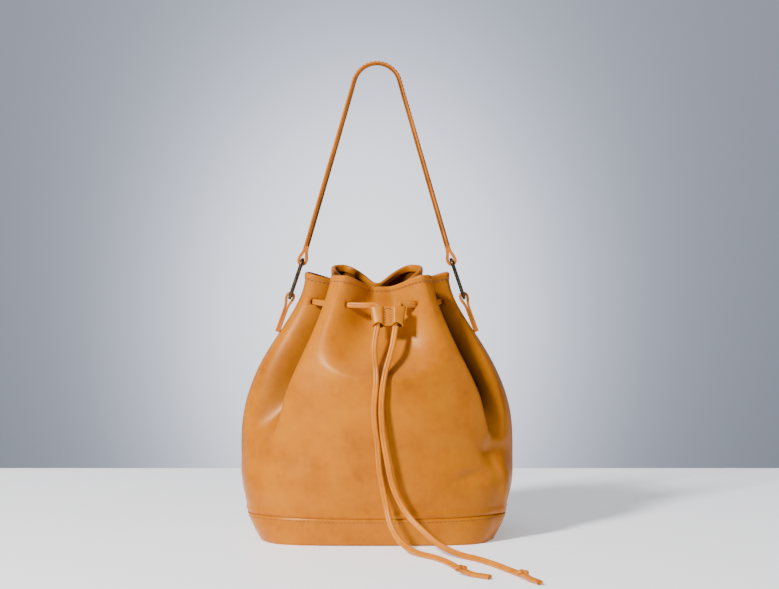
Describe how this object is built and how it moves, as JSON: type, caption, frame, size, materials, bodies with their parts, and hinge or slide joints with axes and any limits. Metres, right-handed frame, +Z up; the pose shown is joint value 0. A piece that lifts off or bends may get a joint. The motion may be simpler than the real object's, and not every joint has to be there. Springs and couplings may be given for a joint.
{
  "type": "bucket bag",
  "caption": "Soft leather bucket bag with a pleated drawstring mouth, a ring-hung top handle, a sliding cord keeper and knotted lace ends, standing on a flat base.",
  "frame": {"origin": "middle of the bag's base on the surface that it stands on", "axes": "+Z up, the front with the cord keeper faces -Y, +X to the right seen from the front"},
  "size_m": [0.2968, 0.4059, 0.49],
  "materials": {
    "body_leather": "smooth vegetable-tanned cowhide, tan, waxed semi-gloss",
    "strap_leather": "strap-cut tan cowhide with painted edges",
    "lining_leather": "flesh side of tan cowhide, matt",
    "lace_leather": "folded tan leather lace",
    "antique_brass": "darkened antique brass, satin",
    "base_board": "fibre board stiffener, matt"
  },
  "bodies": {
    "bag": {"front_panel": "body_leather", "back_panel": "body_leather", "base_band": "body_leather", "base_sole": "body_leather", "base_board": "base_board", "base_welt": "body_leather", "side_tab_left": "strap_leather", "side_tab_right": "strap_leather", "tab_patch_left": "lining_leather", "tab_patch_right": "lining_leather", "drawstring_loop": "lace_leather", "cord_left": "lace_leather", "cord_right": "lace_leather", "knot_left": "lace_leather", "knot_right": "lace_leather", "tail_left": "lace_leather", "tail_right": "lace_leather"},
    "left_tab": {"tab_loop_left": "strap_leather"},
    "left_ring": {"ring_left": "antique_brass"},
    "handle": {"strap_outer": "strap_leather", "strap_lining": "lining_leather", "strap_loop_left": "strap_leather", "strap_loop_right": "strap_leather"},
    "right_tab": {"tab_loop_right": "strap_leather"},
    "right_ring": {"ring_right": "antique_brass"},
    "keeper": {"cord_keeper": "strap_leather"}
  },
  "joints": [
    {"name": "handle_swing", "type": "hinge", "parent": "bag", "child": "left_tab", "pos_m": [-0.09, 0, 0.2465], "axis": [1, 0, 0], "range_deg": [-50, 50]},
    {"name": "handle_sway", "type": "hinge", "parent": "left_tab", "child": "left_ring", "pos_m": [-0.09, 0, 0.2465], "axis": [0, 1, 0], "range_deg": [-8, 8]},
    {"name": "left_ring_pivot", "type": "hinge", "parent": "left_ring", "child": "handle", "pos_m": [-0.07702, 0, 0.28486], "axis": [0, 1, 0], "range_deg": [-10, 10]},
    {"name": "right_tab_swing", "type": "hinge", "parent": "bag", "child": "right_tab", "pos_m": [0.09, 0, 0.2465], "axis": [1, 0, 0], "range_deg": [-50, 50]},
    {"name": "right_ring_sway", "type": "hinge", "parent": "right_tab", "child": "right_ring", "pos_m": [0.09, 0, 0.2465], "axis": [0, 1, 0], "range_deg": [-8, 8]},
    {"name": "keeper_slide", "type": "slide", "parent": "bag", "child": "keeper", "axis": [-0.1501, -0.3603, -0.9207], "range_m": [0, 0.02]}
  ],
  "couplings": [
    {"joint": "left_ring_pivot", "follows": "handle_sway", "ratio": -1.167},
    {"joint": "right_tab_swing", "follows": "handle_swing", "ratio": 1},
    {"joint": "right_ring_sway", "follows": "handle_sway", "ratio": 1}
  ]
}
